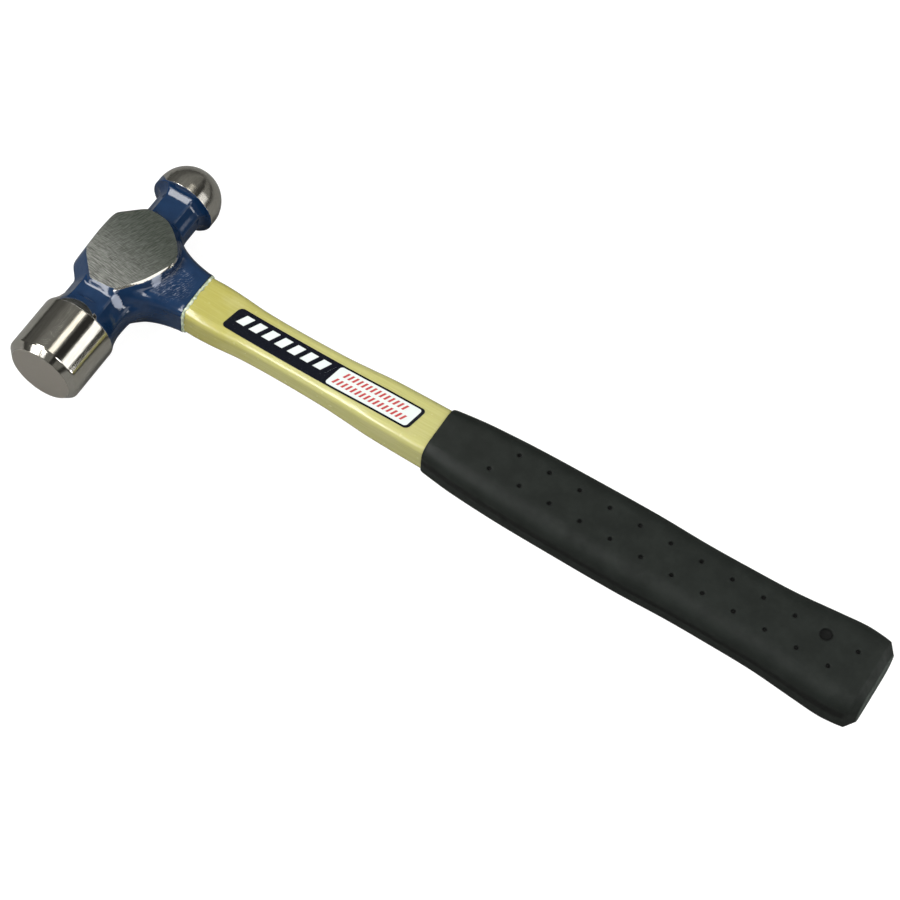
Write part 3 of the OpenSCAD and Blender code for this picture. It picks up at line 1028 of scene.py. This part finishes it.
def fibreglass_material():
    """Yellow-green pultruded resin and glass, greyer towards the grip."""
    made = surface_material(
        "fibreglass", Subsurface_Weight=0.25, Subsurface_Radius=(1.6, 1.5, 0.7),
        Subsurface_Scale=0.001, Coat_Weight=0.45, Coat_Roughness=0.12,
    )
    vector, x = millimetres(made)[:2]
    fibres = streaky(vector, (0.03, 1.6, 1.6), 6.0, 0.68)
    strands = ease(fibres, 0.25, 0.75)
    fresh = blend(strands, (156, 150, 72), (168, 162, 88))
    aged = blend(strands, (167, 164, 100), (180, 177, 114))
    colour = blend(ease(x, 34, 74), fresh, aged)
    cloud = noise(stretched(vector, (0.5, 1, 1)), 0.16, 4.0, 0.55)
    cloud = times(ease(cloud, 0.45, 0.75), 0.3)
    colour = blend(cloud, colour, (184, 178, 128))
    rough = span(noise(vector, 0.4, 4.0), 0.3, 0.7, 0.18, 0.28)
    relief = bump(streaky(vector, (0.02, 0.8, 0.8), 3.0), 0.05)
    relief = bump(fibres, 0.006, relief)
    return finish(made, Base_Color=colour, Roughness=rough, Normal=relief)


def rubber_material():
    """Charcoal moulded rubber with a matt, finely grained skin."""
    made = surface_material("moulded_rubber", Specular_IOR_Level=0.2)
    vector, x = millimetres(made)[:2]
    bloom = ease(noise(vector, 0.12, 5.0, 0.6), 0.35, 0.7)
    colour = blend(bloom, (19, 23, 20), (26, 30, 27))
    dust = times(ease(noise(vector, 2.2, 4.0, 0.75), 0.62, 0.8), 0.12)
    colour = blend(dust, colour, (96, 98, 90))
    scuffed = ease(noise(vector, 0.5, 5.0, 0.7), 0.05, 0.75)
    end_wear = times(scuffed, ease(x, BUTT_X - 0.5, BUTT_X - 0.1))
    colour = blend(times(end_wear, 0.6), colour, (84, 92, 86))
    rough = span(noise(vector, 0.3, 4.0), 0.3, 0.7, 0.46, 0.62)
    rough = times_plus(ease(x, 140, 200), 0.14, rough)
    # Painted shade: near-black inside the dimples and the recess.
    colour = blend(times(vertex_value(made, "pit_shade"), 0.92), colour, (2, 3, 2))
    swell = noise(stretched(vector, (0.3, 1, 1)), 0.1, 2.0)
    relief = bump(swell, 0.12)
    relief = bump(noise(vector, 3.0, 3.0, 0.6), 0.02, relief)
    return finish(made, Base_Color=colour, Roughness=rough, Normal=relief)


def bars_mask(u, v, row):
    """A row of slanted upright bars."""
    row_v, first, count, pitch, share, half_height = row
    v = minus(v, row_v)
    slanted = times_plus(v, BAR_LEAN, u)
    phase = calc("FRACT", calc("DIVIDE", minus(slanted, first), pitch))
    off_middle = calc("ABSOLUTE", minus(phase, share / 2))
    bar = ease(off_middle, share / 2 + 0.02, share / 2)
    half_row = count * pitch / 2
    off_middle = calc("ABSOLUTE", minus(slanted, first + half_row))
    inside = ease(off_middle, half_row + 0.02, half_row)
    tall = ease(calc("ABSOLUTE", v), half_height + 0.05, half_height)
    return times(times(bar, inside), tall)


def rounded_field(u, v):
    """1 on the label's white field, a rectangle with rounded corners."""
    end = LABEL_END - LABEL_SLANT - FIELD_END_GAP
    off_middle = calc("ABSOLUTE", minus(u, (FIELD_X + end) / 2))
    past_u = larger(minus(off_middle, (end - FIELD_X) / 2 - FIELD_CORNER), 0)
    straight = LABEL_HALF_W - FIELD_SIDE_GAP - FIELD_CORNER
    past_v = larger(minus(calc("ABSOLUTE", v), straight), 0)
    past = times_plus(past_v, past_v, times(past_u, past_u))
    return ease(calc("SQRT", past), FIELD_CORNER + 0.02, FIELD_CORNER - 0.04)


def label_material():
    """Printed film: a black-navy field with white bars, a white field with red ticks."""
    made = surface_material("printed_film", Specular_IOR_Level=0.3)
    vector, x, y = millimetres(made)[:3]
    v = minus(y, LABEL_Y)
    u = times_plus(v, -LABEL_SLANT / LABEL_HALF_W, x)
    navy, white = (5, 9, 20), (206, 213, 210)
    colour = blend(bars_mask(u, v, WHITE_BARS), navy, white)
    colour = blend(rounded_field(u, v), colour, white)
    ticks = larger(bars_mask(u, v, UPPER_TICKS), bars_mask(u, v, LOWER_TICKS))
    colour = blend(ticks, colour, (172, 66, 66))
    wear = times(ease(noise(vector, 1.4, 5.0, 0.7), 0.6, 0.75), 0.12)
    colour = blend(wear, colour, (150, 156, 160))
    rough = span(noise(vector, 0.8, 4.0), 0.3, 0.7, 0.14, 0.24)
    relief = bump(noise(vector, 0.5, 3.0), 0.03)
    return finish(made, Base_Color=colour, Roughness=rough, Normal=relief)


def floor_material():
    """Pale table, lifted to plain white where it is looked at directly."""
    made = surface_material(
        "pale_floor", Base_Color=(0.2, 0.2, 0.193, 1), Roughness=0.8, Specular_IOR_Level=0.1,
        Emission_Color=(1, 1, 1, 1),
    )
    seen = add_node("LightPath", {}, made.node_tree).outputs["Is Camera Ray"]
    return finish(made, Emission_Strength=times(seen, 0.92))


# ---- light, floor and camera

# Turn about Y from straight up, in degrees, and the brightness there.
SKY_STOPS = [
    (-180, 0.15), (-98, 0.15), (-86, 0.07), (-80, 0.12), (-54, 0.13), (-46, 0.2), (-30, 0.24),
    (-14, 0.26), (-10, 0.22), (18, 0.22), (21, 0.04), (41, 0.04), (44, 0.25), (74, 0.25),
    (80, 0.05), (89, 0.05), (93, 0.18), (180, 0.18),
]


def studio_world():
    """Dim surroundings with a grey wall on the left; plain and pale to the camera."""
    world = bpy.data.worlds.new("studio")
    bpy.context.scene.world = world
    world.use_nodes = True
    tree = world.node_tree
    tree.nodes.clear()
    direction = add_node("TexCoord", {}, tree).outputs["Generated"]
    parts = add_node("SeparateXYZ", {0: direction})
    across = calc("ARCTAN2", parts.outputs[0], parts.outputs[2])
    ramp = add_node("ValToRGB", {"Fac": span(across, -math.pi, math.pi, 0, 1)})
    elements = ramp.color_ramp.elements
    while len(elements) < len(SKY_STOPS):
        elements.new(0.5)
    for element, (angle, level) in zip(elements, SKY_STOPS):
        element.position = angle / 360 + 0.5
        element.color = (level, level, 0.94 * level, 1)
    seen = add_node("LightPath", {}, tree).outputs["Is Camera Ray"]
    light = add_node("Background", {"Color": ramp.outputs[0], "Strength": 1.0})
    plain = add_node("Background", {"Color": (0.93, 0.93, 0.93, 1), "Strength": 1.0}, tree)
    both = add_node("MixShader", {0: seen, 1: light.outputs[0], 2: plain.outputs[0]})
    add_node("OutputWorld", {"Surface": both.outputs[0]})


def add_softbox(name, centre, target, width, length, radiance, colour):
    """A rectangular light facing target; its length runs along Y as far as it can."""
    centre, target = Vector(centre), Vector(target)
    back = (centre - target).normalized()
    across = Vector((0, 1, 0)).cross(back).normalized()
    along_y = back.cross(across)
    data = bpy.data.lights.new(name, "AREA")
    data.shape = "RECTANGLE"
    data.size, data.size_y = width * MM, length * MM
    data.energy = radiance * math.pi * data.size * data.size_y
    data.color = colour
    light = put_in_scene(name, data)
    axes = Matrix((across, along_y, back)).transposed().to_4x4()
    light.matrix_world = Matrix.Translation(centre * MM) @ axes
    light.visible_camera = False


# Name, centre, the point it faces, width, length, radiance and colour.
SOFTBOXES = [
    ("key", (-250, -480, 530), (-250, -480, 0), 220, 1230, 11, (1, 1, 1)),
    ("overhead", (62, 172, 540), (62, 172, 0), 138, 225, 2.1, (1.0, 0.96, 0.87)),
    ("right_side", (440, 25, 275), (0, 25, 20), 240, 540, 2.0, (1, 1, 1)),
    ("front_low", (-420, -700, 250), (0, -50, 10), 320, 180, 6, (1, 1, 1)),
    ("far_end", (430, -420, 560), (300, -60, 0), 260, 320, 8, (1, 1, 1)),
    ("butt_side", (480, 92, 62), (BUTT_X, -4, 20), 70, 80, 10, (1, 1, 1)),
]


def resting_plane(things):
    """(a, b, c) of the plane z = a x + b y + c, in metres, that carries the hammer: of those
    below all of it, the one that is highest under its middle."""
    points = np.concatenate([[tuple(v.co) for v in t.data.vertices] for t in things])
    lowest = points[points[:, 2] < np.median(points[:, 2])]
    middle_x, middle_y = 60 * MM, -4 * MM
    best, best_height = None, -math.inf
    for a in np.linspace(0, 0.04, 41):
        for b in np.linspace(0, 0.06, 61):
            c = (lowest[:, 2] - a * lowest[:, 0] - b * lowest[:, 1]).min()
            height = a * middle_x + b * middle_y + c
            if height > best_height:
                best, best_height = (a, b, c), height
    return best


# In metres: half the floor's width and how far it stays below the hammer.
FLOOR_REACH = 4.0
FLOOR_GAP = 0.0001
FLOOR_LINES = 9


def add_floor(things):
    """A wide pale floor that touches the hammer where it rests."""
    a, b, c = resting_plane(things)
    lines = np.linspace(-FLOOR_REACH, FLOOR_REACH, FLOOR_LINES)
    vertices = [(x, y, a * x + b * y + c - FLOOR_GAP) for y in lines for x in lines]
    cells = range(FLOOR_LINES - 1)
    first = [FLOOR_LINES * row + column for row in cells for column in cells]
    faces = [(k, k + 1, k + 1 + FLOOR_LINES, k + FLOOR_LINES) for k in first]
    mesh = bpy.data.meshes.new("floor")
    mesh.from_pydata(vertices, [], faces)
    mesh.materials.append(floor_material())
    floor = put_in_scene("floor", mesh)


CAMERA_TURN = 26.38
CAMERA_RISE = 60.16
CAMERA_ROLL = 6.35
CAMERA_DISTANCE = 1022
CAMERA_LENS = 118.08
CAMERA_TARGET = (135.6, -1.52, 14.0)


def add_camera():
    turn, rise, roll = (math.radians(v) for v in (CAMERA_TURN, CAMERA_RISE, CAMERA_ROLL))
    level = math.cos(rise)
    back = Vector((math.sin(turn) * level, -math.cos(turn) * level, math.sin(rise)))
    right = (-back).cross(Vector((0, 0, 1))).normalized()
    up = right.cross(-back)
    level_right = math.cos(roll) * right + math.sin(roll) * up
    level_up = math.cos(roll) * up - math.sin(roll) * right
    place = (Vector(CAMERA_TARGET) + back * CAMERA_DISTANCE) * MM
    data = bpy.data.cameras.new("camera")
    data.lens = CAMERA_LENS
    data.sensor_width = 36
    data.clip_start, data.clip_end = 0.05, 20
    camera = put_in_scene("camera", data)
    axes = Matrix((level_right, level_up, back)).transposed().to_4x4()
    camera.matrix_world = Matrix.Translation(place) @ axes
    bpy.context.scene.camera = camera


# ---- assembly


def finish_piece(piece, material, node):
    piece.data.materials.append(material)
    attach(piece, "root")
    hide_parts(node)
    return piece


pieces = [
    finish_piece(head_forging(), head_material(), "head"),
    finish_piece(resin_fill(), resin_material(), "epoxy_bond"),
    finish_piece(handle_shaft(), fibreglass_material(), "handle"),
    finish_piece(rubber_grip(), rubber_material(), "grip"),
    finish_piece(printed_label(), label_material(), "handle_label"),
]
add_floor(pieces)
studio_world()
for softbox in SOFTBOXES:
    add_softbox(*softbox)
add_camera()
bpy.context.scene.view_settings.view_transform = "Standard"
